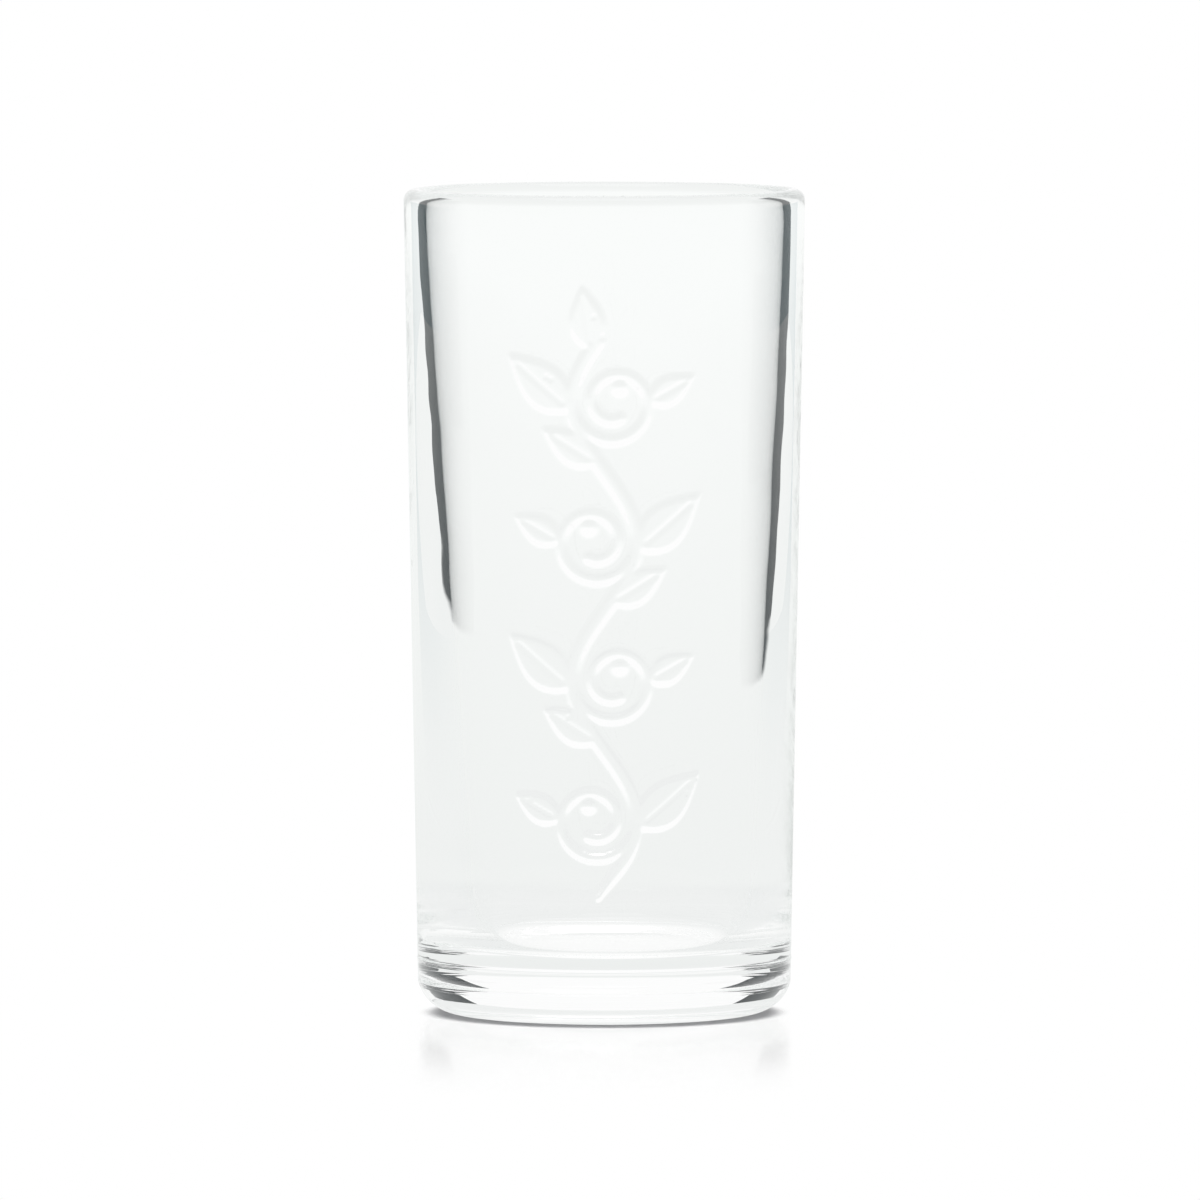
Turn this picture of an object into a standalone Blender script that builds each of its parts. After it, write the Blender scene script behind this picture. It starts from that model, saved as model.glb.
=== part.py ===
"""Schnapps glass: a tall pressed tumbler with a thick base, a fire-polished rim and a raised leaf vine.

Metres, +Z up. The origin is on the glass's axis, on the surface that it stands on. The front, which
carries the vine, faces -Y. The glass is pressed in one, so it is one object.
"""

import math

import bmesh
import bpy

MM = 0.001

# The turned section
HEIGHT = 80.0 * MM
MOUTH_DIAMETER = 38.9 * MM
FOOT_DIAMETER = 36.2 * MM
RIM_THICKNESS = 2.1 * MM
HEEL_ROUND = 3.95 * MM
HEEL_CREASE_DEGREES = 15.0
FLOOR_EDGE_HEIGHT = 6.6 * MM
FLOOR_RADIUS = 11.7 * MM
FLOOR_DISH = 0.82 * MM
FLOOR_TURN_WIDTH = 2.1 * MM
FLOOR_TURN_HEIGHT = 7.8 * MM
LIP_DEPTH = 6.0 * MM
PUSH_UP = 0.5 * MM
RESTING_RING_WIDTH = 2.6 * MM

# How many straight steps stand for each round stretch
TURNS = 80
PUSH_UP_STEPS = 4
HEEL_STEPS = 7
RIM_STEPS = 10
FLOOR_TURN_STEPS = 8
FLOOR_DISH_STEPS = 4

# The vine scroll, in sizes measured along the wall; a crown or dome gives its reach and rise as shares
RELIEF = 0.42 * MM
ROOTED = 0.5 * MM
EDGE_RISE = 0.2
VINE_BOTTOM = 12.5 * MM
VINE_TOP = 66.0 * MM
VINE_SWAY = 3.1 * MM
VINE_HALF_WIDTH = 0.75 * MM
VINE_TAPER = 4.0 * MM
VINE_TIP_SHARE = 0.5
VINE_STATIONS = 48
FIRST_BEND = 20.0 * MM
BEND_PITCH = 13.4 * MM
BEND_COUNT = 4
CURL_OUTER_RADIUS = 4.1 * MM
CURL_INNER_RADIUS = 1.6 * MM
CURL_TURNS = 1.3
CURL_HALF_WIDTH = 0.6 * MM
CURL_STATIONS = 26
BEAD_CROWN = ((1.0, EDGE_RISE), (0.6, 0.8), (0.0, 1.0))
BUD_RADIUS = 1.15 * MM
BUD_RELIEF = 0.55 * MM
BUD_SIDES = 12
BUD_DOME = ((1.0, EDGE_RISE), (0.72, 0.7), (0.35, 0.94))
LEAF_SHOULDER = 0.55 * MM
LEAF_RIDGE_SHARE = 0.2
LEAF_BELLY = 0.75
LEAF_STATIONS = 8

# Each leaf's length, width and lean from upright
BEND_LEAF = (8.6 * MM, 4.4 * MM, math.radians(50))
CURL_LEAF = (5.6 * MM, 3.0 * MM, math.radians(62))
STEM_LEAF = (6.6 * MM, 3.4 * MM, math.radians(58))
TOP_LEAF = (6.5 * MM, 3.6 * MM, math.radians(8))
BEND_LEAF_DROP = 0.8 * MM
STEM_LEAF_PLACE = 0.56
TOP_LEAF_TUCK = 0.9 * MM

# The colour of the glass
GLASS_TINT = (0.95, 0.97, 0.96, 1.0)
GLASS_INDEX = 1.52
GLASS_ROUGHNESS = 0.02

SHARP_EDGE = math.radians(35)
WELD = 0.01 * MM

RIM_ROUND = RIM_THICKNESS / 2
WALL_TOP = HEIGHT - RIM_ROUND
HEEL_TOP = HEEL_ROUND * (1 - math.sin(math.radians(HEEL_CREASE_DEGREES)))


def clear_scene():
    for item in list(bpy.data.objects):
        bpy.data.objects.remove(item, do_unlink=True)


def outer_radius(height):
    """The outer wall's radius, a straight taper from the heel to the rim."""
    share = (height - HEEL_TOP) / (WALL_TOP - HEEL_TOP)
    return (FOOT_DIAMETER + (MOUTH_DIAMETER - FOOT_DIAMETER) * share) / 2


def arc(centre, radius, first, last, steps):
    """Points of a round stretch of the section, with its angles in degrees from the outward direction."""
    points = []
    for step in range(steps + 1):
        angle = math.radians(first + (last - first) * step / steps)
        points.append((centre[0] + radius * math.cos(angle), centre[1] + radius * math.sin(angle)))
    return points


def section():
    """Half of the glass cut through its axis: under the base, up the outside, over the rim, down inside.

    The heel stops short of upright, so that it meets the wall in a soft crease. Inside, the wall turns in to
    the floor along a tall oval, and the floor is dished.
    """
    ring_outside = FOOT_DIAMETER / 2 - HEEL_ROUND * math.cos(math.radians(HEEL_CREASE_DEGREES))
    ring_inside = ring_outside - RESTING_RING_WIDTH
    points = []
    for step in range(PUSH_UP_STEPS + 1):
        share = step / PUSH_UP_STEPS
        points.append((ring_inside * share, PUSH_UP * (1 - share ** 2)))
    points += arc((ring_outside, HEEL_ROUND), HEEL_ROUND, -90, -HEEL_CREASE_DEGREES, HEEL_STEPS)
    points += arc((MOUTH_DIAMETER / 2 - RIM_ROUND, WALL_TOP), RIM_ROUND, 0, 180, RIM_STEPS)
    points.append((MOUTH_DIAMETER / 2 - RIM_THICKNESS, HEIGHT - LIP_DEPTH))
    for across, up in arc((0.0, 0.0), 1.0, 0, -90, FLOOR_TURN_STEPS):
        radius = FLOOR_RADIUS + FLOOR_TURN_WIDTH * across
        points.append((radius, FLOOR_EDGE_HEIGHT + FLOOR_TURN_HEIGHT * (1 + up)))
    for step in range(FLOOR_DISH_STEPS - 1, -1, -1):
        share = step / FLOOR_DISH_STEPS
        points.append((FLOOR_RADIUS * share, FLOOR_EDGE_HEIGHT - FLOOR_DISH * (1 - share ** 2)))
    return points


def new_object(name, mesh_builder):
    """An object whose mesh is what the builder leaves in a bmesh, with its faces turned outwards."""
    shape = bmesh.new()
    mesh_builder(shape)
    bmesh.ops.recalc_face_normals(shape, faces=shape.faces)
    mesh = bpy.data.meshes.new(name)
    shape.to_mesh(mesh)
    shape.free()
    made = bpy.data.objects.new(name, mesh)
    bpy.context.scene.collection.objects.link(made)
    return made


def turn_section(shape):
    """Turns the section round the axis and closes its two ends there."""
    corners = [shape.verts.new((radius, 0.0, height)) for radius, height in section()]
    edges = [shape.edges.new(pair) for pair in zip(corners, corners[1:])]
    bmesh.ops.spin(
        shape,
        geom=corners + edges,
        axis=(0, 0, 1),
        cent=(0, 0, 0),
        steps=TURNS,
        angle=math.tau,
        use_merge=True,
    )
    bmesh.ops.remove_doubles(shape, verts=shape.verts, dist=WELD)


def on_wall(across, height, out):
    """A point that lies out from the wall, at this height and this far round to the right of the front."""
    radius = outer_radius(height)
    angle = across / radius - math.pi / 2
    return ((radius + out) * math.cos(angle), (radius + out) * math.sin(angle), height)


def vine_point(height):
    """The vine sways from side to side, with its first bend to the right."""
    return VINE_SWAY * math.cos(math.pi * (height - FIRST_BEND) / BEND_PITCH), height


def curl_path(bend, side):
    """A curl that leaves the vine upwards at a bend and winds in towards the other side."""
    points = []
    for step in range(CURL_STATIONS + 1):
        share = step / CURL_STATIONS
        radius = CURL_OUTER_RADIUS + (CURL_INNER_RADIUS - CURL_OUTER_RADIUS) * share
        angle = math.tau * CURL_TURNS * share
        across = side * (VINE_SWAY - CURL_OUTER_RADIUS + radius * math.cos(angle))
        points.append((across, bend + radius * math.sin(angle)))
    return points


def skin(shape, rings):
    """Faces between each closed ring of corners and the next."""
    for ring, following in zip(rings, rings[1:]):
        for first in range(len(ring)):
            second = (first + 1) % len(ring)
            shape.faces.new((ring[first], ring[second], following[second], following[first]))


def bead(shape, path, half_widths):
    """A raised round bead along a path on the wall, with its back rooted in the wall."""
    profile = [(1.0, -ROOTED)]
    profile += [(aside, rise * RELIEF) for aside, rise in BEAD_CROWN]
    profile += [(-aside, out) for aside, out in reversed(profile[:-1])]
    rings = []
    for place, (across, height) in enumerate(path):
        before = path[max(place - 1, 0)]
        after = path[min(place + 1, len(path) - 1)]
        along = math.atan2(after[1] - before[1], after[0] - before[0])
        ring = []
        for aside, out in profile:
            offset = aside * half_widths[place]
            corner = on_wall(across - offset * math.sin(along), height + offset * math.cos(along), out)
            ring.append(shape.verts.new(corner))
        rings.append(ring)
    skin(shape, rings)
    shape.faces.new(rings[0])
    shape.faces.new(rings[-1])


def leaf(shape, root, size, side):
    """A flat-topped leaf with a sloping shoulder, a pointed oval that is widest below its middle."""
    length, width, lean = size[0], size[1], side * size[2]

    def corner(along, aside, out):
        across = root[0] + along * math.sin(lean) + aside * math.cos(lean)
        height = root[1] + along * math.cos(lean) - aside * math.sin(lean)
        return shape.verts.new(on_wall(across, height, out))

    rings = []
    for step in range(1, LEAF_STATIONS):
        share = step / LEAF_STATIONS
        half = width / 2 * math.sin(math.pi * share ** LEAF_BELLY)
        top_half = max(half - LEAF_SHOULDER, LEAF_RIDGE_SHARE * half)
        across_leaf = [(half, -ROOTED), (half, EDGE_RISE * RELIEF), (top_half, RELIEF), (0.0, RELIEF)]
        across_leaf += [(-aside, out) for aside, out in reversed(across_leaf[:-1])]
        rings.append([corner(share * length, aside, out) for aside, out in across_leaf])
    skin(shape, rings)
    for along, ring in ((0.0, rings[0]), (length, rings[-1])):
        point = [corner(along, 0.0, out) for out in (-ROOTED, EDGE_RISE * RELIEF)]
        shape.faces.new((point[0], ring[0], ring[1], point[1]))
        for first in range(1, len(ring) - 2):
            shape.faces.new((point[1], ring[first], ring[first + 1]))
        shape.faces.new((point[1], ring[-2], ring[-1], point[0]))
        shape.faces.new((point[0], ring[-1], ring[0]))


def bud(shape, centre):
    """A low dome with its back rooted in the wall."""
    levels = [(1.0, -ROOTED)]
    levels += [(reach, rise * BUD_RELIEF) for reach, rise in BUD_DOME]
    rings = []
    for reach, out in levels:
        ring = []
        for side in range(BUD_SIDES):
            angle = math.tau * side / BUD_SIDES
            across = centre[0] + reach * BUD_RADIUS * math.cos(angle)
            height = centre[1] + reach * BUD_RADIUS * math.sin(angle)
            ring.append(shape.verts.new(on_wall(across, height, out)))
        rings.append(ring)
    skin(shape, rings)
    shape.faces.new(rings[0])
    crown = shape.verts.new(on_wall(centre[0], centre[1], BUD_RELIEF))
    for first, second in zip(rings[-1], rings[-1][1:] + rings[-1][:1]):
        shape.faces.new((first, second, crown))


def vine_solids():
    """The vine, its curls, buds and leaves as helper solids, each rooted in the wall."""
    solids = []

    def add(name, builder, *details):
        solids.append(new_object(name, lambda shape: builder(shape, *details)))

    rise = (VINE_TOP - VINE_BOTTOM) / VINE_STATIONS
    path = [vine_point(VINE_BOTTOM + rise * step) for step in range(VINE_STATIONS + 1)]
    growth = (1 - VINE_TIP_SHARE) / VINE_TAPER
    tapered = [min(1.0, VINE_TIP_SHARE + growth * (height - VINE_BOTTOM)) for _, height in path]
    add("vine", bead, path, [VINE_HALF_WIDTH * share for share in tapered])
    for number in range(BEND_COUNT):
        side = 1 if number % 2 == 0 else -1
        bend = FIRST_BEND + number * BEND_PITCH
        curl = curl_path(bend, side)
        add(f"curl_{number}", bead, curl, [CURL_HALF_WIDTH] * len(curl))
        add(f"bud_{number}", bud, curl[-1])
        add(f"bend_leaf_{number}", leaf, (side * VINE_SWAY, bend - BEND_LEAF_DROP), BEND_LEAF, side)
        half_turn = round(CURL_STATIONS * 0.5 / CURL_TURNS)
        add(f"curl_leaf_{number}", leaf, curl[half_turn], CURL_LEAF, -side)
        if number < BEND_COUNT - 1:
            root = vine_point(bend + STEM_LEAF_PLACE * BEND_PITCH)
            add(f"stem_leaf_{number}", leaf, root, STEM_LEAF, -side)
    add("top_leaf", leaf, vine_point(VINE_TOP - TOP_LEAF_TUCK), TOP_LEAF, -1)
    return solids


def clear_glass():
    """Clear pressed glass with a trace of grey-green."""
    material = bpy.data.materials.new("clear_glass")
    material.use_nodes = True
    shader = material.node_tree.nodes["Principled BSDF"]
    shader.inputs["Base Color"].default_value = GLASS_TINT
    shader.inputs["Roughness"].default_value = GLASS_ROUGHNESS
    shader.inputs["IOR"].default_value = GLASS_INDEX
    shader.inputs["Transmission Weight"].default_value = 1.0
    return material


def build():
    clear_scene()
    tumbler = new_object("tumbler", turn_section)
    for helper in vine_solids():
        helper.hide_render = True
        helper.display_type = "WIRE"
        helper.parent = tumbler
        join = tumbler.modifiers.new(helper.name, "BOOLEAN")
        join.operation = "UNION"
        join.solver = "EXACT"
        join.object = helper
    tumbler.data.shade_smooth()
    tumbler.data.set_sharp_from_angle(angle=SHARP_EDGE)
    tumbler.data.materials.append(clear_glass())


build()
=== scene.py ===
"""The looks of a pressed schnapps glass: clear glass with a leaf vine in relief, on a white table."""

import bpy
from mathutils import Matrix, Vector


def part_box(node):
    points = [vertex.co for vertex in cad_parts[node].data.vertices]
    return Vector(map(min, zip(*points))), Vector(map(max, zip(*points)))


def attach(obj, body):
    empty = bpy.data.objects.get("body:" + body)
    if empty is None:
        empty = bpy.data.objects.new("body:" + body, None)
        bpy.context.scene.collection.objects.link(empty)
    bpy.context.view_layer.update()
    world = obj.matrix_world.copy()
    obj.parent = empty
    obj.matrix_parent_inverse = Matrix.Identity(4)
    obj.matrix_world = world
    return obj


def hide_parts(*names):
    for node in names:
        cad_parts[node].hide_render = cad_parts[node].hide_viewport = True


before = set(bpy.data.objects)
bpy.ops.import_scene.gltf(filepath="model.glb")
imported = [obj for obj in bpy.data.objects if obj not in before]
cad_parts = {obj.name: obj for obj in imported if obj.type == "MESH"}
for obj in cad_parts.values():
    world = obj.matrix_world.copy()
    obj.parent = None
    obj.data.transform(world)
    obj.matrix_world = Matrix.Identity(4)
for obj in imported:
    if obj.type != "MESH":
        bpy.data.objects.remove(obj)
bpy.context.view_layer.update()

import math

import bpy

bl_info = {
    "name": "Pressed Schnapps Glass",
    "version": (1, 0, 0),
    "blender": (4, 5, 0),
    "location": "3D View > Sidebar > Glass",
    "description": "A pressed schnapps glass with a leaf vine in relief, and a white table to see it on",
    "category": "Add Mesh",
}

MM = 0.001
NODE = "tumbler"
LOW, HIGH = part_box(NODE)
WHITE = (1.0, 1.0, 1.0, 1.0)
# Closer than this counts as touching
TOUCH = 0.001 * MM

# How closely the mesh follows the glass, round the axis and along its section
FRONT_ANGLE = math.radians(37)
FRONT_STEP = math.radians(0.68)
BACK_STEP = math.radians(2.9)
VINE_ROW = 0.24 * MM
LINE_ROW = 0.12 * MM
BASE_ROW = 0.25 * MM
PLAIN_ROW = 0.9 * MM
HOLLOW_ROW = 1.1 * MM
RING_ROW = 0.7 * MM
FLOOR_ROW = 0.8 * MM
HEEL_STEPS = 14
LIP_STEPS = 18
TURN_STEPS = 22
# The close rows over the foot end at this height, and those over the vine go past its two ends
BASE_ROWS_TOP = 9.0 * MM
VINE_ROWS_BELOW = 1.5 * MM
VINE_ROWS_ABOVE = 7.5 * MM
# The turn into the floor starts this many degrees past upright
TURN_START = 3

# The line that the joint of the mould leaves round the foot
MOULD_LINE_HEIGHT = 5.3 * MM
MOULD_LINE_WIDTH = 0.28 * MM
MOULD_LINE_ROWS = 4 * MOULD_LINE_WIDTH

# Points along the vine, along a curl and round a leaf
VINE_POINTS = 240
CURL_POINTS = 90
LEAF_POINTS = 72
# Share of its full width that the vine has at its lower end
VINE_START = 0.5
# Each leaf's length, width and lean from upright
BEND_LEAF = (8.6 * MM, 4.4 * MM, math.radians(50))
CURL_LEAF = (5.6 * MM, 3.0 * MM, math.radians(62))
STEM_LEAF = (6.6 * MM, 3.4 * MM, math.radians(58))
TOP_LEAF = (6.5 * MM, 3.6 * MM, math.radians(-8))
# A bend leaf starts this far below its bend, a stem leaf at this share of the way up to the next bend
BEND_LEAF_DROP = 0.8 * MM
STEM_LEAF_PLACE = 0.56
# The top leaf starts this far below the vine's upper end
TOP_LEAF_TUCK = 0.9 * MM
# A leaf is widest below its middle where this power is under 1
LEAF_POWER = 0.75
# Where a leaf's groove starts and how long it is, as shares of the leaf
GROOVE_START = 0.14
GROOVE_LENGTH = 0.66

# How fine the unevenness of each wall is along the three axes, per metre, and its seed
OUTER_RIPPLE = ((120.0, 120.0, 120.0), 3.0)
INNER_RIPPLE = ((150.0, 150.0, 150.0), 7.0)
BASE_WAVES = ((70.0, 70.0, 420.0), 11.0)
RIPPLE_DETAIL = 1.5
RIPPLE_ROUGHNESS = 0.4
# The polish of the glass: how fine its dull clouds are per metre, where they start and end, and how dull
CLOUD_SCALE = 260.0
CLOUD_DETAIL = 3.0
CLOUD_RANGE = (0.45, 0.8)
CLOUD_ROUGHNESS = 0.02

# Size of the table, and distances from the glass's axis over which its colours change, with painted shade
# that darkens it round the glass and beside the foot, and painted light that brightens it under the glass
TABLE_RADIUS = 4.0
TABLE_SIDES = 64
FAR_RANGE = (0.0, 0.9)
CLOSE_RANGE = (60 * MM, 105 * MM)
UNDER_RANGE = (11.5 * MM, 14.5 * MM)
# The painted shadow in the gap under the heel lies a little to the front of the glass
PAINTED_SHADOW_AHEAD = 1.1 * MM
GAP_RANGE = (16.5 * MM, 18.5 * MM)
LIFT_RANGE = (15.8 * MM, 18.3 * MM)
# The table's polish: how strong it is round the glass and in that gap, where its fade starts, and its kind
POLISH = 0.85
GAP_POLISH = 0.3
POLISH_FADE = 20 * MM
TABLE_ROUGHNESS = 0.13
TABLE_INDEX = 1.4

# Where the inner edge of the right-hand dark mat runs, from beside the glass to far behind it
MAT_EDGE = ((0.179, 0.03), (0.179, 0.15), (0.32, 0.47), (2.0, 3.2))
MAT_OUTSIDE = 3.5
MAT_LIFT = 0.2 * MM
# The mat fades in at its inner edge, and over a longer reach in reflections, where its painted reflection
# goes from the table's painted shade to a lighter grey
MAT_FADE = (0.179, 0.189)
PAINTED_REFLECTION_FADE = (0.18, 0.45)
# How many of those places the strip hangs over; it runs out in a point at the last of them
STRIP_PLACES = 3
# The ends of the upright panel behind the glass on the right, at its lower edge and at its top
PANEL_FOOT = ((0.413, 0.435), (0.548, 0.244))
PANEL_TOP = ((0.331, 0.551), (0.548, 0.244))
# The dark patch on the table beside the foot, and the low card behind it, which runs out in a point
FOOT_PATCH = (
    (0.026, 0.036), (0.038, 0.049), (0.055, 0.053), (0.068, 0.053), (0.085, 0.023), (0.043, 0.012),
)
FOOT_CARD = ((0.064, 0.102), (0.085, 0.085), (0.116, 0.031))
FOOT_CARD_HEIGHT = 11 * MM
# The level card beside the glass that the right-hand end of the rim sees, and its height
RIM_CARD = ((0.0199, -0.005), (0.0212, -0.008), (0.035, 0.009), (0.031, 0.0155))
RIM_CARD_HEIGHT = 75 * MM
# The cards are dark up to the first of these angles from straight behind, and clear from the second
CARD_TURN = (math.radians(58), math.radians(92))
# The rim's cards reach further round
RIM_CARD_TURN = (math.radians(112), math.radians(120))
# A ray has crossed two faces after one pass through the glass, and four after passing through both walls
GONE_IN = 1.5
CROSSED_ONCE = 3.5
# Counts that are less than this apart are equal
HALF_COUNT = 0.5

# Light bounces often inside the thick rim
BOUNCES = 72
GLASS_BOUNCES = 64
SOFTBOX_SIZE = 0.8
SOFTBOX_POWER = 1.0
SOFTBOX_HEIGHT = 1.2
SENSOR_WIDTH = 36.0


def length(name, default, description):
    return bpy.props.FloatProperty(
        name=name, description=description, default=default, unit="LENGTH", precision=5
    )


def colour(name, default, description):
    return bpy.props.FloatVectorProperty(
        name=name, description=description, default=default, size=3, min=0, max=1, subtype="COLOR"
    )


def angle(name, default, description):
    return bpy.props.FloatProperty(name=name, description=description, default=default, unit="ROTATION")


def number(name, default, description):
    return bpy.props.FloatProperty(name=name, description=description, default=default, precision=4)


def count(name, default, description):
    return bpy.props.IntProperty(name=name, description=description, default=default, min=1)


class TurnedSection(bpy.types.PropertyGroup):
    """Sizes of the glass cut through its axis."""

    height: length("Height", HIGH.z, "From the table to the top of the rim")
    mouth_diameter: length("Mouth diameter", HIGH.x - LOW.x, "Across the outside of the rim")
    foot_diameter: length("Foot diameter", 36.2 * MM, "Across the outside just above the heel")
    rim_thickness: length("Rim thickness", 2.1 * MM, "Wall at the rim, which is fully round")
    heel_round: length("Heel round", 3.95 * MM, "Radius of the edge round the foot")
    heel_crease: angle("Heel crease", math.radians(15), "Angle by which the heel stops short of upright")
    floor_height: length("Floor height", 6.6 * MM, "Thickness of the base at the edge of the inside floor")
    floor_dish: length("Floor dish", 0.82 * MM, "How far the middle of the floor lies below its edge")
    turn_radius: length("Turn radius", 13.8 * MM, "Inside radius where the wall turns in to the floor")
    turn_height: length("Turn height", 7.8 * MM, "Height of that turn")
    turn_width: length("Turn width", 2.1 * MM, "How far the wall turns in")
    lip_depth: length("Lip depth", 6.0 * MM, "How far down the inner wall stays upright")
    lip_blend: length("Lip blend", 0.15 * MM, "How softly the upright lip turns into the taper")
    push_up: length("Push-up", 0.5 * MM, "Rise of the hollow under the base")
    ring_width: length("Ring width", 2.6 * MM, "Width of the flat ring that the glass stands on")


class LeafVine(bpy.types.PropertyGroup):
    """Sizes of the vine in relief, measured along the wall."""

    relief: length("Relief", 0.415 * MM, "How far the vine stands out of the wall")
    shoulder: length("Shoulder", 0.42 * MM, "Width of the soft slope round every shape")
    bottom: length("Bottom", 12.5 * MM, "Height of the vine's lower end")
    top: length("Top", 66.0 * MM, "Height of the vine's upper end")
    sway: length("Sway", 3.1 * MM, "How far the vine swings to each side")
    half_width: length("Half width", 0.75 * MM, "Half the width of the vine")
    taper: length("Taper", 4.0 * MM, "Height over which the vine's lower end thickens")
    first_bend: length("First bend", 20.0 * MM, "Height of the lowest bend")
    pitch: length("Pitch", 13.4 * MM, "Height from one bend to the next")
    bends: count("Bends", 4, "How many bends, each with a curl, a bud and leaves")
    curl_outer: length("Curl outside", 4.1 * MM, "Radius where a curl leaves the vine")
    curl_inner: length("Curl inside", 1.6 * MM, "Radius where a curl ends in its bud")
    curl_turns: number("Curl turns", 1.3, "Turns of a curl")
    curl_half_width: length("Curl half width", 0.6 * MM, "Half the width of a curl")
    bud_radius: length("Bud radius", 1.15 * MM, "Radius of the bud in a curl")
    bud_relief: length("Bud relief", 0.55 * MM, "How far a bud stands out of the wall")
    rib_depth: length("Rib depth", 0.14 * MM, "Depth of the groove along a leaf")
    rib_width: length("Rib width", 0.4 * MM, "Half the width of that groove")


class GlassFinish(bpy.types.PropertyGroup):
    """What the glass itself is like."""

    index: number("Index", 1.52, "Refractive index of soda-lime glass")
    tint: colour("Tint", (0.96, 0.97, 0.966), "Colour that light takes on in the glass")
    tint_density: number("Tint density", 12.0, "How fast light takes on the tint, per metre")
    cavity_lean: number("Cavity lean", 0.0075, "How far the cavity leans to the right, per depth")
    inner_ripple: length("Inner ripple", 0.05 * MM, "Unevenness that the plunger leaves inside")
    outer_ripple: length("Outer ripple", 0.012 * MM, "Unevenness of the outer wall")
    base_wave: length("Base wave", 0.03 * MM, "Height of the long flat waves round the foot")
    base_wave_top: length("Base wave top", 9.0 * MM, "Height up to which those waves go")
    mould_line: length("Mould line", 0.05 * MM, "Height of the line where the mould's base ring joins")


class WhiteTable(bpy.types.PropertyGroup):
    """The table, light and camera."""

    # Painted light and shade: the table is painted lighter under the glass and darker beside the foot and
    # round the glass, up to its own pale far colour
    painted_light_under: colour("Table under", (0.97, 0.975, 0.97), "Colour of the table under the glass")
    painted_shade_close: colour("Table close", (0.838, 0.854, 0.848), "Colour of the table beside the foot")
    painted_shade_near: colour("Table near", (0.872, 0.889, 0.879), "Colour of the table round the glass")
    far_colour: colour("Table far", (0.955, 0.972, 0.963), "Colour of the table away from the glass")
    gloss_reach: length("Gloss reach", 0.09, "How far from the glass the table is polished")
    card_colour: colour("Cards", (0.002, 0.009, 0.012), "Colour of the dark cards that edge the glass")
    # Painted reflection: the cards are painted this lighter grey where the glass reflects them
    painted_card_reflection: colour("Cards mirrored", (0.38, 0.49, 0.52), "Colour of those cards in the glass's shine")
    strip_height: length("Strip height", 55 * MM, "Height of the top of the strip over a mat's inner edge")
    strip_gap: length("Strip gap", 22 * MM, "Height of the gap under that strip")
    panel_low: length("Panel low", 42 * MM, "Height of the lower edge of the panel behind the glass")
    panel_high: length("Panel high", 255 * MM, "Height of the top of that panel")
    # Painted shadow: the table's colour in the gap under the heel
    painted_contact_shadow: colour("Contact shade", (0.40, 0.40, 0.42), "Table's colour in the gap under the heel")
    lift: number("Lift", 1.0, "Share of plain white in the table that the camera sees beside the glass")
    camera_distance: length("Camera distance", 1.5, "From the glass's axis to the camera, level")
    camera_height: length("Camera height", 136.5 * MM, "Height of the camera above the table")
    camera_pitch: angle("Camera pitch", math.radians(3.679), "How far the camera looks down")
    camera_lens: number("Lens", 464.6, "Focal length in millimetres on a 36 mm sensor")
    camera_aside: length("Camera aside", -0.42 * MM, "How far the camera stands to the right")


def spread(first, last, step):
    """Evenly spaced values from first up to but not including last."""
    steps = max(1, round(abs(last - first) / step))
    return [first + (last - first) * place / steps for place in range(steps)]


def arc(centre, radius, first, last, steps):
    """Points of a round stretch of the section, with its angles in degrees from the outward direction."""
    points = []
    for step in range(steps + 1):
        angle = math.radians(first + (last - first) * step / steps)
        points.append((centre[0] + radius * math.cos(angle), centre[1] + radius * math.sin(angle)))
    return points


def heel_top(glass):
    """Height at which the heel meets the wall."""
    return glass.heel_round * (1 - math.sin(glass.heel_crease))


def wall_heights(glass, vine):
    """Heights of the outer wall's rows, closer together over the mould line and the vine."""
    top = glass.height - glass.rim_thickness / 2
    line_low = MOULD_LINE_HEIGHT - MOULD_LINE_ROWS
    line_high = MOULD_LINE_HEIGHT + MOULD_LINE_ROWS
    vine_low = vine.bottom - VINE_ROWS_BELOW
    vine_high = vine.top + VINE_ROWS_ABOVE
    heights = spread(heel_top(glass), line_low, BASE_ROW)
    heights += spread(line_low, line_high, LINE_ROW)
    heights += spread(line_high, BASE_ROWS_TOP, BASE_ROW)
    heights += spread(BASE_ROWS_TOP, vine_low, PLAIN_ROW)
    heights += spread(vine_low, vine_high, VINE_ROW)
    heights += spread(vine_high, top, PLAIN_ROW)
    return heights[1:]


def inner_wall(glass):
    """Points down the inner wall: upright at the lip, then an even taper to the turn into the floor."""
    lip_radius = glass.mouth_diameter / 2 - glass.rim_thickness
    top = glass.height - glass.rim_thickness / 2
    lip = glass.height - glass.lip_depth
    bottom = glass.floor_height + glass.turn_height
    slope = (lip_radius - glass.turn_radius) / (lip - bottom)
    points = []
    for height in spread(top, bottom, PLAIN_ROW)[1:]:
        taper = glass.turn_radius + slope * (height - bottom)
        excess = (taper - lip_radius) / glass.lip_blend
        points.append((taper - glass.lip_blend * math.log1p(math.exp(excess)), height))
    return points


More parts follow.
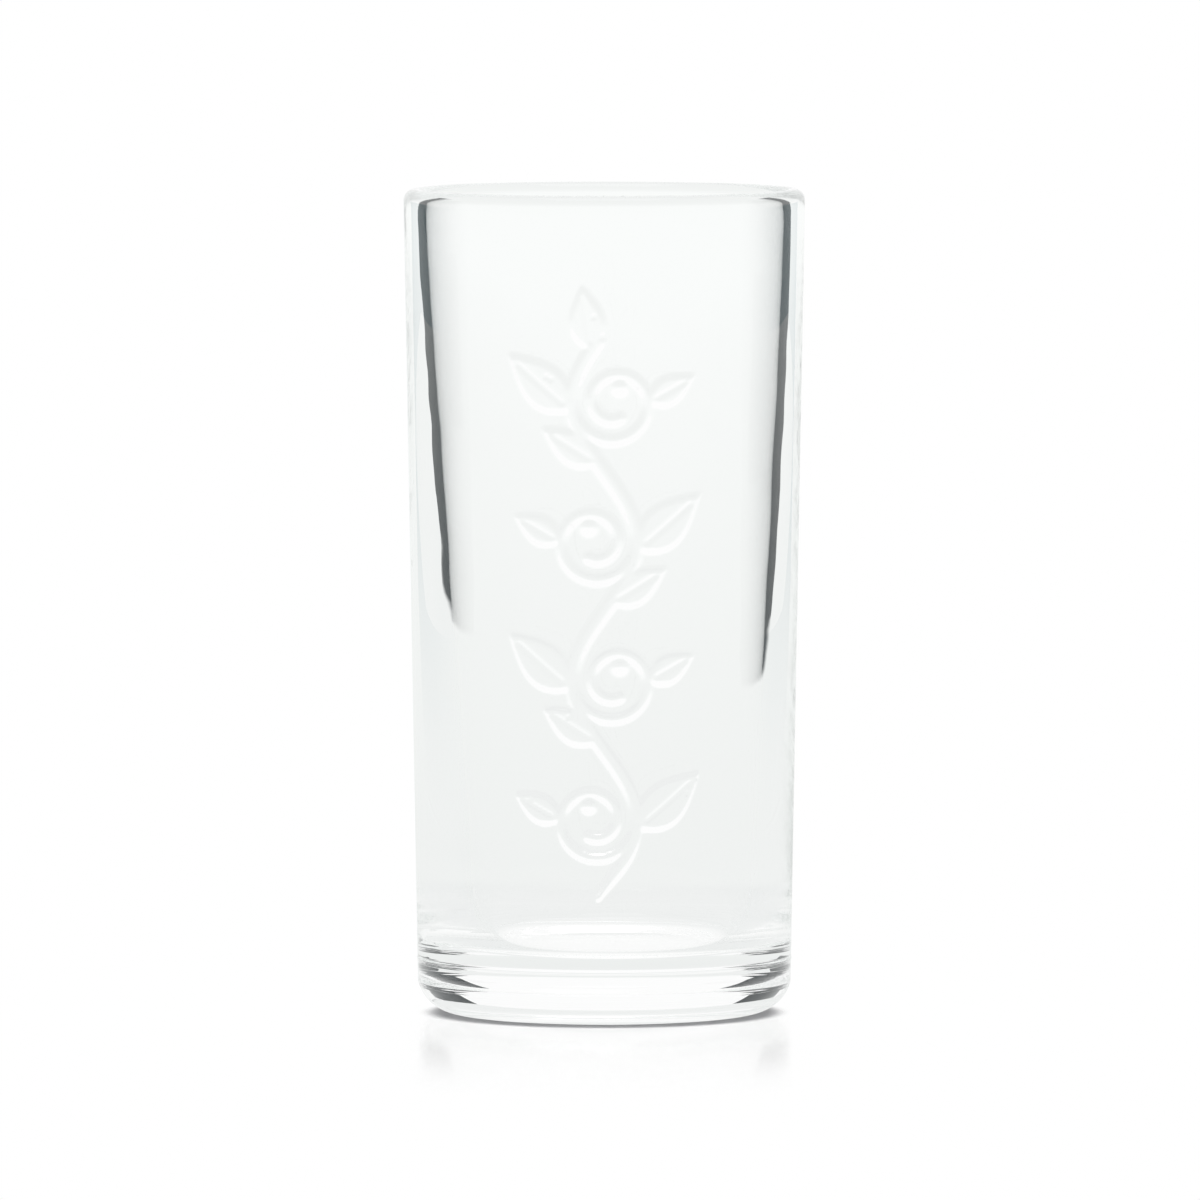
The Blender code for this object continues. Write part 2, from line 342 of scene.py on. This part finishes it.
def section(glass, vine):
    """Half of the glass cut through its axis, as rows of radius, height and the wall that each is on."""
    foot = glass.foot_diameter / 2
    mouth = glass.mouth_diameter / 2
    ring_outside = foot - glass.heel_round * math.cos(glass.heel_crease)
    ring_inside = ring_outside - glass.ring_width
    rim = glass.rim_thickness / 2
    top = glass.height - rim
    under = []
    for radius in spread(0, ring_inside, HOLLOW_ROW):
        under.append((radius, glass.push_up * (1 - (radius / ring_inside) ** 2)))
    under += [(radius, 0.0) for radius in spread(ring_inside, ring_outside, RING_ROW)]
    heel_end = -math.degrees(glass.heel_crease)
    heel = arc((ring_outside, glass.heel_round), glass.heel_round, -90, heel_end, HEEL_STEPS)
    taper = (mouth - foot) / (top - heel_top(glass))
    wall = [(foot + taper * (height - heel_top(glass)), height) for height in wall_heights(glass, vine)]
    lip = arc((mouth - rim, top), rim, 0, 180, LIP_STEPS)
    floor_edge = glass.turn_radius - glass.turn_width
    turn = []
    for across, up in arc((0.0, 0.0), 1.0, -TURN_START, -90, TURN_STEPS):
        height = glass.floor_height + glass.turn_height * (1 + up)
        turn.append((floor_edge + glass.turn_width * across, height))
    floor = []
    for radius in spread(floor_edge, 0, FLOOR_ROW)[1:] + [0.0]:
        floor.append((radius, glass.floor_height - glass.floor_dish * (1 - (radius / floor_edge) ** 2)))
    stretches = (
        (under, "base"),
        (heel, "outside"),
        (wall, "outside"),
        (lip, "rim"),
        (inner_wall(glass), "inside"),
        (turn, "inside"),
        (floor, "inside"),
    )
    return [(radius, height, name) for points, name in stretches for radius, height in points]


def columns():
    """Angles round the axis from the front, close together over the vine and wider elsewhere."""
    front = spread(-FRONT_ANGLE, FRONT_ANGLE, FRONT_STEP)
    return front + spread(FRONT_ANGLE, math.tau - FRONT_ANGLE, BACK_STEP)


def turned_mesh(name, glass, vine):
    """The plain glass, turned round its axis and closed at both poles, with each wall marked."""
    rows = section(glass, vine)
    angles = columns()
    around = len(angles)
    corners = [(0.0, 0.0, rows[0][1])]
    walls = [rows[0][2]]
    for radius, height, wall in rows[1:-1]:
        corners += [(radius * math.sin(angle), -radius * math.cos(angle), height) for angle in angles]
        walls += [wall] * around
    corners.append((0.0, 0.0, rows[-1][1]))
    walls.append(rows[-1][2])
    last_ring = len(corners) - 1 - around
    faces = []
    for place in range(around):
        following = (place + 1) % around
        faces.append((0, 1 + following, 1 + place))
        for ring in range(1, last_ring, around):
            faces.append((ring + place, ring + following, ring + around + following, ring + around + place))
        faces.append((last_ring + place, last_ring + following, len(corners) - 1))
    mesh = bpy.data.meshes.new(name)
    mesh.from_pydata(corners, [], faces)
    for wall in ("outside", "inside"):
        marked = mesh.attributes.new(wall, "FLOAT", "POINT")
        marked.data.foreach_set("value", [float(found == wall) for found in walls])
    mesh.shade_smooth()
    return mesh


class NodeMaker:
    """Adds nodes to a tree, each fed with the sockets or plain values that it is given."""

    def __init__(self, tree):
        self.tree = tree

    def add(self, kind, inputs=None, **settings):
        node = self.tree.nodes.new(kind)
        for name, value in settings.items():
            setattr(node, name, value)
        for key, value in (inputs or {}).items():
            self.feed(node.inputs[key], value)
        return node

    def feed(self, socket, value):
        if isinstance(value, (list, tuple)) and isinstance(value[0], bpy.types.NodeSocket):
            for one in value:
                self.tree.links.new(one, socket)
        elif isinstance(value, bpy.types.NodeSocket):
            self.tree.links.new(value, socket)
        else:
            socket.default_value = value

    def math(self, operation, *values):
        inputs = dict(enumerate(values))
        return self.add("ShaderNodeMath", inputs, operation=operation).outputs[0]

    def vector(self, x=0.0, y=0.0, z=0.0):
        return self.add("ShaderNodeCombineXYZ", {0: x, 1: y, 2: z}).outputs[0]

    def ease(self, value, first, last, low=0.0, high=1.0):
        inputs = {"Value": value, "From Min": first, "From Max": last, "To Min": low, "To Max": high}
        return self.add("ShaderNodeMapRange", inputs, interpolation_type="SMOOTHSTEP").outputs["Result"]

    def blend(self, share, first, second):
        """A colour between two others."""
        node = self.add("ShaderNodeMix", data_type="RGBA")
        sockets = {socket.identifier: socket for socket in node.inputs}
        self.feed(sockets["Factor_Float"], share)
        self.feed(sockets["A_Color"], first)
        self.feed(sockets["B_Color"], second)
        return next(socket for socket in node.outputs if socket.identifier == "Result_Color")


class VineTree(NodeMaker):
    """A Geometry Nodes tree that presses the vine, the mould line and the ripples into a turned glass."""

    lengths = (
        "relief", "shoulder", "bottom", "top", "sway", "half_width", "taper", "first_bend", "pitch",
        "curl_outer", "curl_inner", "curl_half_width", "bud_radius", "bud_relief", "rib_depth", "rib_width",
    )
    finishes = ("inner_ripple", "outer_ripple", "base_wave", "base_wave_top", "mould_line", "cavity_lean")

    def __init__(self, name):
        super().__init__(bpy.data.node_groups.new(name, "GeometryNodeTree"))
        face = self.tree.interface
        face.new_socket("Glass", in_out="INPUT", socket_type="NodeSocketGeometry")
        self.keys = {}
        for size in self.lengths + self.finishes + ("curl_turns", "height"):
            socket = face.new_socket(size, in_out="INPUT", socket_type="NodeSocketFloat")
            self.keys[size] = socket.identifier
        for name, kind in (("bends", "NodeSocketInt"), ("finish", "NodeSocketMaterial")):
            self.keys[name] = face.new_socket(name, in_out="INPUT", socket_type=kind).identifier
        face.new_socket("Glass", in_out="OUTPUT", socket_type="NodeSocketGeometry")
        self.given = self.add("NodeGroupInput").outputs
        self.build()

    def vine_across(self, height):
        """How far the vine has swayed at a height."""
        rise = self.math("SUBTRACT", height, self.given["first_bend"])
        phase = self.math("MULTIPLY", self.math("DIVIDE", rise, self.given["pitch"]), math.pi)
        return self.math("MULTIPLY", self.given["sway"], self.math("COSINE", phase))

    def position(self):
        return self.add("GeometryNodeInputPosition").outputs[0]

    def split(self, vector):
        return self.add("ShaderNodeSeparateXYZ", {0: vector}).outputs

    def placed(self, geometry, position):
        return self.add("GeometryNodeSetPosition", {"Geometry": geometry, "Position": position}).outputs[0]

    def distance(self, target, element, place):
        inputs = {0: target, "Source Position": place}
        node = self.add("GeometryNodeProximity", inputs, target_element=element)
        return node.outputs["Distance"]

    def vine_path(self):
        """The swaying vine as a chain of edges."""
        ends = {"Start": self.vector(z=self.given["bottom"]), "End": self.vector(z=self.given["top"])}
        line = self.add("GeometryNodeCurvePrimitiveLine", ends, mode="POINTS").outputs[0]
        line = self.add("GeometryNodeResampleCurve", {"Curve": line, "Count": VINE_POINTS}).outputs[0]
        height = self.split(self.position())["Z"]
        line = self.placed(line, self.vector(self.vine_across(height), 0.0, height))
        return self.add("GeometryNodeCurveToMesh", {"Curve": line}).outputs[0]

    def bend_points(self):
        """One point for each bend, and which side it swings to."""
        start = self.vector(z=self.given["first_bend"])
        step = self.vector(z=self.given["pitch"])
        inputs = {"Count": self.given["bends"], "Start Location": start, "Offset": step}
        points = self.add("GeometryNodeMeshLine", inputs, mode="OFFSET").outputs[0]
        index = self.add("GeometryNodeInputIndex").outputs[0]
        odd = self.math("MODULO", index, 2.0)
        return points, index, self.math("SUBTRACT", 1.0, self.math("MULTIPLY", odd, 2.0))

    def curl_point(self, side, share):
        """How far across and up a point lies on a curl, at a share of its length."""
        outer, inner = self.given["curl_outer"], self.given["curl_inner"]
        radius = self.math("MULTIPLY_ADD", self.math("SUBTRACT", inner, outer), share, outer)
        angle = self.math("MULTIPLY", self.math("MULTIPLY", self.given["curl_turns"], share), math.tau)
        reach = self.math("MULTIPLY", radius, self.math("COSINE", angle))
        centre = self.math("SUBTRACT", self.given["sway"], outer)
        across = self.math("MULTIPLY", side, self.math("ADD", centre, reach))
        return across, self.math("MULTIPLY", radius, self.math("SINE", angle))

    def curls_and_buds(self, points, side):
        """The curls as chains of edges, and a point for the bud in each."""
        inputs = {
            "Resolution": CURL_POINTS,
            "Rotations": self.given["curl_turns"],
            "Start Radius": self.given["curl_outer"],
            "End Radius": self.given["curl_inner"],
            "Height": 0.0,
        }
        spiral = self.add("GeometryNodeCurveSpiral", inputs).outputs[0]
        height = self.split(self.position())["Z"]
        centre = self.math("SUBTRACT", self.given["sway"], self.given["curl_outer"])
        centres = self.placed(points, self.vector(self.math("MULTIPLY", side, centre), 0.0, height))
        inputs = {
            "Points": centres,
            "Instance": spiral,
            "Rotation": (math.pi / 2, 0.0, 0.0),
            "Scale": self.vector(side, 1.0, 1.0),
        }
        curls = self.add("GeometryNodeInstanceOnPoints", inputs).outputs[0]
        curls = self.add("GeometryNodeRealizeInstances", {0: curls}).outputs[0]
        curls = self.add("GeometryNodeCurveToMesh", {"Curve": curls}).outputs[0]
        across, up = self.curl_point(side, 1.0)
        buds = self.placed(points, self.vector(across, 0.0, self.math("ADD", height, up)))
        return curls, buds

    def leaf_outline(self):
        """A leaf of unit length and width: a pointed oval, widest below its middle."""
        inputs = {"Vertices": LEAF_POINTS, "Radius": 1.0}
        circle = self.add("GeometryNodeMeshCircle", inputs, fill_type="NGON").outputs[0]
        x, y, _ = self.split(self.position())
        share = self.math("MULTIPLY_ADD", x, -0.5, 0.5)
        bulge = self.math("SINE", self.math("MULTIPLY", self.math("POWER", share, LEAF_POWER), math.pi))
        half = self.math("MULTIPLY", self.math("SIGN", y), self.math("MULTIPLY", bulge, 0.5))
        return self.placed(circle, self.vector(half, 0.0, share))

    def leaf_rib(self):
        """The line along which a leaf of unit length is grooved."""
        start = (0.0, 0.0, GROOVE_START)
        inputs = {"Count": 2, "Start Location": start, "Offset": (0.0, 0.0, GROOVE_LENGTH)}
        return self.add("GeometryNodeMeshLine", inputs, mode="OFFSET").outputs[0]

    def leaves(self, shape, points, index, side):
        """The same leaf shape at every place where the vine has a leaf."""
        height = self.split(self.position())["Z"]
        other_side = self.math("MULTIPLY", side, -1.0)
        half_turn = self.math("DIVIDE", 0.5, self.given["curl_turns"])
        curl_across, _ = self.curl_point(side, half_turn)
        stem_height = self.math("MULTIPLY_ADD", self.given["pitch"], STEM_LEAF_PLACE, height)
        not_last = self.math("LESS_THAN", index, self.math("SUBTRACT", self.given["bends"], 1.0))
        bend_across = self.math("MULTIPLY", side, self.given["sway"])
        families = (
            (BEND_LEAF, bend_across, self.math("SUBTRACT", height, BEND_LEAF_DROP), side, True),
            (CURL_LEAF, curl_across, height, other_side, True),
            (STEM_LEAF, self.vine_across(stem_height), stem_height, other_side, not_last),
        )
        made = []
        for (long, wide, lean), across, up, leaning, wanted in families:
            inputs = {
                "Points": self.placed(points, self.vector(across, 0.0, up)),
                "Selection": wanted,
                "Instance": shape,
                "Rotation": self.vector(0.0, self.math("MULTIPLY", leaning, lean), 0.0),
                "Scale": (wide, 1.0, long),
            }
            made.append(self.add("GeometryNodeInstanceOnPoints", inputs).outputs[0])
        long, wide, lean = TOP_LEAF
        top = self.math("SUBTRACT", self.given["top"], TOP_LEAF_TUCK)
        inputs = {
            "Geometry": shape,
            "Translation": self.vector(self.vine_across(top), 0.0, top),
            "Rotation": (0.0, lean, 0.0),
            "Scale": (wide, 1.0, long),
        }
        made.append(self.add("GeometryNodeTransform", inputs).outputs[0])
        joined = self.add("GeometryNodeJoinGeometry", {0: made}).outputs[0]
        return self.add("GeometryNodeRealizeInstances", {0: joined}).outputs[0]

    def shoulder(self, depth):
        """Height of the relief at a depth inside a shape's outline."""
        share = self.ease(depth, 0.0, self.given["shoulder"])
        return self.math("MULTIPLY", share, self.given["relief"])

    def vine_height(self, place):
        """Height of the vine over the wall at a place unrolled from the wall."""
        height = self.split(place)["Z"]
        points, index, side = self.bend_points()
        curls, buds = self.curls_and_buds(points, side)
        leaves = self.leaves(self.leaf_outline(), points, index, side)
        ribs = self.leaves(self.leaf_rib(), points, index, side)
        above = self.math("SUBTRACT", height, self.given["bottom"])
        grown = self.ease(above, 0.0, self.given["taper"], VINE_START, 1.0)
        vine_half = self.math("MULTIPLY", self.given["half_width"], grown)
        in_vine = self.math("SUBTRACT", vine_half, self.distance(self.vine_path(), "EDGES", place))
        curl_half = self.given["curl_half_width"]
        in_curl = self.math("SUBTRACT", curl_half, self.distance(curls, "EDGES", place))
        on_leaf = self.math("LESS_THAN", self.distance(leaves, "FACES", place), TOUCH)
        in_leaf = self.math("MULTIPLY", on_leaf, self.distance(leaves, "EDGES", place))
        depth = self.math("MAXIMUM", self.math("MAXIMUM", in_vine, in_curl), in_leaf)
        rib = self.ease(self.distance(ribs, "EDGES", place), 0.0, self.given["rib_width"], 1.0, 0.0)
        groove = self.math("MULTIPLY", self.math("MULTIPLY", rib, on_leaf), self.given["rib_depth"])
        flat = self.math("SUBTRACT", self.shoulder(depth), groove)
        in_bud = self.math("SUBTRACT", self.given["bud_radius"], self.distance(buds, "POINTS", place))
        dome = self.ease(in_bud, 0.0, self.given["bud_radius"])
        return self.math("MAXIMUM", flat, self.math("MULTIPLY", dome, self.given["bud_relief"]))

    def ripple(self, kind, size):
        """Soft unevenness between minus and plus half of a size, as fine as its kind along each axis."""
        scale, seed = kind
        inputs = {0: self.position(), 1: scale, 2: (seed, 0.0, 0.0)}
        spot = self.add("ShaderNodeVectorMath", inputs, operation="MULTIPLY_ADD").outputs[0]
        inputs = {"Vector": spot, "Scale": 1.0, "Detail": RIPPLE_DETAIL, "Roughness": RIPPLE_ROUGHNESS}
        noise = self.add("ShaderNodeTexNoise", inputs).outputs[0]
        return self.math("MULTIPLY", self.math("SUBTRACT", noise, 0.5), size)

    def marked(self, name):
        return self.add("GeometryNodeInputNamedAttribute", {"Name": name}, data_type="FLOAT").outputs[0]

    def outer_relief(self, place):
        """How far the outer wall is moved out at a place unrolled from it."""
        height = self.split(place)["Z"]
        off_line = self.math("ABSOLUTE", self.math("SUBTRACT", height, MOULD_LINE_HEIGHT))
        on_line = self.ease(off_line, 0.0, MOULD_LINE_WIDTH, 1.0, 0.0)
        line = self.math("MULTIPLY", on_line, self.given["mould_line"])
        relief = self.math("ADD", self.vine_height(place), line)
        relief = self.math("ADD", relief, self.ripple(OUTER_RIPPLE, self.given["outer_ripple"]))
        waves = self.ripple(BASE_WAVES, self.given["base_wave"])
        near_base = self.ease(height, 0.0, self.given["base_wave_top"], 1.0, 0.0)
        return self.math("MULTIPLY_ADD", waves, near_base, relief)

    def build(self):
        """Move each wall out or in by its relief, and lean the cavity to one side."""
        x, y, z = self.split(self.position())
        squares = (self.math("MULTIPLY", x, x), self.math("MULTIPLY", y, y))
        radius = self.math("SQRT", self.math("ADD", *squares))
        angle = self.math("ARCTAN2", x, self.math("MULTIPLY", y, -1.0))
        unrolled = self.vector(self.math("MULTIPLY", angle, radius), 0.0, z)
        inside = self.marked("inside")
        out = self.math("MULTIPLY", self.outer_relief(unrolled), self.marked("outside"))
        ripple = self.ripple(INNER_RIPPLE, self.given["inner_ripple"])
        out = self.math("MULTIPLY_ADD", ripple, inside, out)
        safe = self.math("MAXIMUM", radius, TOUCH)
        outwards = self.vector(self.math("DIVIDE", x, safe), self.math("DIVIDE", y, safe), 0.0)
        move = self.add("ShaderNodeVectorMath", {0: outwards, "Scale": out}, operation="SCALE").outputs[0]
        depth = self.math("SUBTRACT", self.given["height"], z)
        lean = self.math("MULTIPLY", self.math("MULTIPLY", depth, self.given["cavity_lean"]), inside)
        move = self.add("ShaderNodeVectorMath", {0: move, 1: self.vector(lean)}, operation="ADD").outputs[0]
        inputs = {"Geometry": self.given["Glass"], "Offset": move}
        pressed = self.add("GeometryNodeSetPosition", inputs).outputs[0]
        pressed = self.add("GeometryNodeRealizeInstances", {0: pressed}).outputs[0]
        inputs = {0: pressed, "Material": self.given["finish"]}
        finished = self.add("GeometryNodeSetMaterial", inputs).outputs[0]
        self.add("NodeGroupOutput", {0: finished})


def clear_glass(finish):
    """Clear pressed glass with a trace of grey-green and a faintly uneven polish."""
    material = bpy.data.materials.new("clear_glass")
    material.use_nodes = True
    make = NodeMaker(material.node_tree)
    shader = material.node_tree.nodes["Principled BSDF"]
    shader.inputs["Base Color"].default_value = WHITE
    shader.inputs["IOR"].default_value = finish.index
    shader.inputs["Transmission Weight"].default_value = 1.0
    place = make.add("ShaderNodeTexCoord").outputs["Object"]
    inputs = {"Vector": place, "Scale": CLOUD_SCALE, "Detail": CLOUD_DETAIL}
    cloud = make.add("ShaderNodeTexNoise", inputs).outputs[0]
    make.feed(shader.inputs["Roughness"], make.ease(cloud, *CLOUD_RANGE, 0.0, CLOUD_ROUGHNESS))
    inputs = {"Color": (*finish.tint, 1.0), "Density": finish.tint_density}
    absorption = make.add("ShaderNodeVolumeAbsorption", inputs)
    output = material.node_tree.nodes["Material Output"]
    make.feed(output.inputs["Volume"], absorption.outputs[0])
    return material


def object_from(name, mesh):
    made = bpy.data.objects.new(name, mesh)
    bpy.context.scene.collection.objects.link(made)
    return made


class PressGlass(bpy.types.Operator):
    """Turn the glass and press the vine into its wall"""

    bl_idname = "mesh.press_schnapps_glass"
    bl_label = "Press Glass"

    def execute(self, context):
        scene = context.scene
        vine = scene.leaf_vine
        finish = scene.glass_finish
        glass = object_from("pressed_glass", turned_mesh("turned_glass", scene.turned_section, vine))
        material = clear_glass(finish)
        press = VineTree("Press Vine")
        modifier = glass.modifiers.new("Press Vine", "NODES")
        modifier.node_group = press.tree
        for size in press.lengths + ("curl_turns", "bends"):
            modifier[press.keys[size]] = getattr(vine, size)
        for size in press.finishes:
            modifier[press.keys[size]] = getattr(finish, size)
        modifier[press.keys["height"]] = scene.turned_section.height
        modifier[press.keys["finish"]] = material
        context.view_layer.update()
        pressed = bpy.data.meshes.new_from_object(glass.evaluated_get(context.evaluated_depsgraph_get()))
        pressed.name = "pressed_glass"
        glass.modifiers.remove(modifier)
        glass.data = pressed
        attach(glass, "root")
        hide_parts(NODE)
        return {"FINISHED"}


def white_world():
    """White all round."""
    world = bpy.data.worlds.new("white_room")
    world.use_nodes = True
    background = world.node_tree.nodes["Background"]
    background.inputs["Color"].default_value = WHITE
    return world


def table_top(table):
    """White table, polished near the glass so that it mirrors the foot, and keeping the glass's shadow
    close by the foot. Its colour carries painted shade round the glass and beside the foot, painted light
    under the glass, and a painted shadow in the gap under the heel.
    """
    material = bpy.data.materials.new("white_table")
    material.use_nodes = True
    nodes = material.node_tree.nodes
    nodes.remove(nodes["Principled BSDF"])
    make = NodeMaker(material.node_tree)
    place = make.add("ShaderNodeTexCoord").outputs["Object"]
    away = make.add("ShaderNodeVectorMath", {0: place}, operation="LENGTH").outputs["Value"]
    # Painted shade and light: the colour darkens towards the glass and beside the foot, and lightens under
    # the glass
    painted_tone = (*table.far_colour, 1.0)
    for reach, colour_there in (
        (FAR_RANGE, table.painted_shade_near),
        (CLOSE_RANGE, table.painted_shade_close),
        (UNDER_RANGE, table.painted_light_under),
    ):
        painted_tone = make.blend(make.ease(away, *reach), (*colour_there, 1.0), painted_tone)
    # Painted shadow in the gap under the heel, centred a little ahead of the glass
    ahead = make.add("ShaderNodeVectorMath", {0: place, 1: (0.0, PAINTED_SHADOW_AHEAD, 0.0)}).outputs[0]
    under = make.add("ShaderNodeVectorMath", {0: ahead}, operation="LENGTH").outputs["Value"]
    painted_contact = make.blend(make.ease(under, *GAP_RANGE), (*table.painted_contact_shadow, 1.0), painted_tone)
    matt = make.add("ShaderNodeBsdfDiffuse", {"Color": painted_contact}).outputs[0]
    path = make.add("ShaderNodeLightPath").outputs
    lift = make.math("MULTIPLY", path["Is Camera Ray"], make.ease(under, *LIFT_RANGE, 0.0, table.lift))
    plain = make.add("ShaderNodeEmission").outputs[0]
    white = make.add("ShaderNodeMixShader", {0: lift, 1: matt, 2: plain}).outputs[0]
    # Rays off or through the glass see the table glowing in that painted tone, without its own lighting and
    # shadow
    seen = make.add("ShaderNodeEmission", {"Color": painted_tone}).outputs[0]
    through = make.math("MAXIMUM", path["Is Glossy Ray"], path["Is Transmission Ray"])
    white = make.add("ShaderNodeMixShader", {0: through, 1: white, 2: seen}).outputs[0]
    gloss = make.add("ShaderNodeBsdfAnisotropic", {"Color": WHITE, "Roughness": TABLE_ROUGHNESS}).outputs[0]
    mirror = make.add("ShaderNodeFresnel", {"IOR": TABLE_INDEX}).outputs[0]
    polish = make.ease(away, POLISH_FADE, table.gloss_reach, POLISH, 0.0)
    polish = make.math("MULTIPLY", polish, make.ease(under, *GAP_RANGE, GAP_POLISH, 1.0))
    share = make.math("MULTIPLY", mirror, polish)
    mixed = make.add("ShaderNodeMixShader", {0: share, 1: white, 2: gloss}).outputs[0]
    make.feed(nodes["Material Output"].inputs["Surface"], mixed)
    return material


def flat_disc(name, radius, sides):
    """A round flat face at the origin."""
    corners = [
        (radius * math.cos(math.tau * side / sides), radius * math.sin(math.tau * side / sides), 0.0)
        for side in range(sides)
    ]
    mesh = bpy.data.meshes.new(name)
    mesh.from_pydata(corners, [], [tuple(range(sides))])
    return object_from(name, mesh)


def hang_card(name, side, outlines, material):
    """Flat cards in one object, which the camera itself doesn't see and which cast no shadow."""
    corners = []
    faces = []
    for outline in outlines:
        faces.append(tuple(range(len(corners), len(corners) + len(outline))))
        corners += [(side * across, back, height) for across, back, height in outline]
    mesh = bpy.data.meshes.new(name)
    mesh.from_pydata(corners, [], faces)
    mesh.materials.append(material)
    card = object_from(name, mesh)
    for kind in ("camera", "diffuse", "shadow", "volume_scatter"):
        setattr(card, f"visible_{kind}", False)


def side_outlines(table):
    """A mat beside and behind the glass and a low strip over its edge."""
    mat = [(across, back, MAT_LIFT) for across, back in MAT_EDGE]
    mat += [(MAT_OUTSIDE, back, MAT_LIFT) for _, back in (MAT_EDGE[-1], MAT_EDGE[0])]
    strip = [(across, back, table.strip_gap) for across, back in MAT_EDGE[:STRIP_PLACES]]
    tall_places = MAT_EDGE[:STRIP_PLACES - 1]
    strip += [(across, back, table.strip_height) for across, back in reversed(tall_places)]
    return mat, strip


def foot_outlines(table):
    """A patch on the table beside the foot, a low card behind it and an upright panel further back."""
    patch = [(across, back, MAT_LIFT) for across, back in FOOT_PATCH]
    card = [(across, back, 0.0) for across, back in FOOT_CARD]
    card += [(across, back, FOOT_CARD_HEIGHT) for across, back in reversed(FOOT_CARD[1:])]
    panel = [(across, back, table.panel_low) for across, back in PANEL_FOOT]
    panel += [(across, back, table.panel_high) for across, back in reversed(PANEL_TOP)]
    return patch, card, panel


def rim_outlines():
    """A level card a little below the rim."""
    return ([(across, back, RIM_CARD_HEIGHT) for across, back in RIM_CARD],)


def card_material(name, table, bounces=None, turn=CARD_TURN):
    """Dark to rays that went into the glass and out once, painted a lighter grey in its reflections, else
    clear.

    With bounces it is dark only to those that were reflected so many times inside the glass.
    """
    material = bpy.data.materials.new(name)
    material.use_nodes = True
    nodes = material.node_tree.nodes
    nodes.remove(nodes["Principled BSDF"])
    make = NodeMaker(material.node_tree)
    place = make.add("ShaderNodeTexCoord").outputs["Object"]
    across, back, height = make.add("ShaderNodeSeparateXYZ", {0: place}).outputs
    aside = make.math("ABSOLUTE", across)
    path = make.add("ShaderNodeLightPath").outputs
    seen = make.ease(make.math("ARCTAN2", aside, back), *turn, 1.0, 0.0)
    seen = make.math("MULTIPLY", seen, make.math("LESS_THAN", path["Transmission Depth"], CROSSED_ONCE))
    if bounces is None:
        only = make.ease(make.math("ADD", aside, height), *MAT_FADE)
    else:
        through = make.math("GREATER_THAN", path["Transmission Depth"], GONE_IN)
        counted = make.math("COMPARE", path["Glossy Depth"], bounces, HALF_COUNT)
        only = make.math("MULTIPLY", through, counted)
    seen = make.math("MULTIPLY", seen, only)
    # Painted reflection: reflected rays see the cards as a lighter grey, fading to the table's painted
    # shade towards the mat's inner edge
    mirrored = make.math("SUBTRACT", path["Is Glossy Ray"], path["Is Transmission Ray"])
    further = make.ease(aside, *PAINTED_REFLECTION_FADE)
    gloss = make.blend(further, (*table.painted_shade_near, 1.0), (*table.painted_card_reflection, 1.0))
    shade = make.blend(mirrored, (*table.card_colour, 1.0), gloss)
    dark = make.add("ShaderNodeEmission", {"Color": shade}).outputs[0]
    clear = make.add("ShaderNodeBsdfTransparent").outputs[0]
    mixed = make.add("ShaderNodeMixShader", {0: seen, 1: clear, 2: dark}).outputs[0]
    make.feed(nodes["Material Output"].inputs["Surface"], mixed)
    return material


class SetTable(bpy.types.Operator):
    """Lay the white table, light it and place the camera"""

    bl_idname = "scene.set_white_table"
    bl_label = "Set Table"

    def execute(self, context):
        scene = context.scene
        table = scene.white_table
        scene.world = white_world()
        scene.view_settings.view_transform = "Standard"
        scene.cycles.max_bounces = BOUNCES
        scene.cycles.glossy_bounces = GLASS_BOUNCES
        scene.cycles.transmission_bounces = GLASS_BOUNCES
        floor = flat_disc("table", TABLE_RADIUS, TABLE_SIDES)
        floor.data.materials.append(table_top(table))
        side_dark = card_material("side_card", table)
        foot_dark = card_material("foot_card", table, 0)
        rim_dark = card_material("rim_card", table, 1, RIM_CARD_TURN)
        for side, word in ((-1, "left"), (1, "right")):
            hang_card(f"{word}_side_card", side, side_outlines(table), side_dark)
            hang_card(f"{word}_foot_card", side, foot_outlines(table), foot_dark)
            hang_card(f"{word}_rim_card", side, rim_outlines(), rim_dark)
        softbox = bpy.data.lights.new("softbox", "AREA")
        softbox.size = SOFTBOX_SIZE
        softbox.energy = SOFTBOX_POWER
        lamp = object_from("softbox", softbox)
        lamp.location = (0.0, 0.0, SOFTBOX_HEIGHT)
        camera_data = bpy.data.cameras.new("photo_camera")
        camera_data.lens = table.camera_lens
        camera_data.sensor_width = SENSOR_WIDTH
        camera = object_from("photo_camera", camera_data)
        camera.location = (table.camera_aside, -table.camera_distance, table.camera_height)
        camera.rotation_euler = (math.pi / 2 - table.camera_pitch, 0.0, 0.0)
        scene.camera = camera
        return {"FINISHED"}


class GlassPanel(bpy.types.Panel):
    """The glass, its table and their sizes"""

    bl_idname = "VIEW3D_PT_schnapps_glass"
    bl_label = "Schnapps Glass"
    bl_space_type = "VIEW_3D"
    bl_region_type = "UI"
    bl_category = "Glass"

    def draw(self, context):
        for group in SETTINGS:
            box = self.layout.box()
            box.label(text=group.__doc__)
            settings = getattr(context.scene, SETTINGS[group])
            for name in group.__annotations__:
                box.prop(settings, name)
        self.layout.operator(PressGlass.bl_idname)
        self.layout.operator(SetTable.bl_idname)


SETTINGS = {
    TurnedSection: "turned_section",
    LeafVine: "leaf_vine",
    GlassFinish: "glass_finish",
    WhiteTable: "white_table",
}
CLASSES = (*SETTINGS, PressGlass, SetTable, GlassPanel)


def register():
    for item in CLASSES:
        bpy.utils.register_class(item)
    for group, name in SETTINGS.items():
        setattr(bpy.types.Scene, name, bpy.props.PointerProperty(type=group))


def unregister():
    for name in SETTINGS.values():
        delattr(bpy.types.Scene, name)
    for item in reversed(CLASSES):
        bpy.utils.unregister_class(item)


def main():
    register()
    bpy.ops.mesh.press_schnapps_glass()
    bpy.ops.scene.set_white_table()


if __name__ == "__main__":
    main()
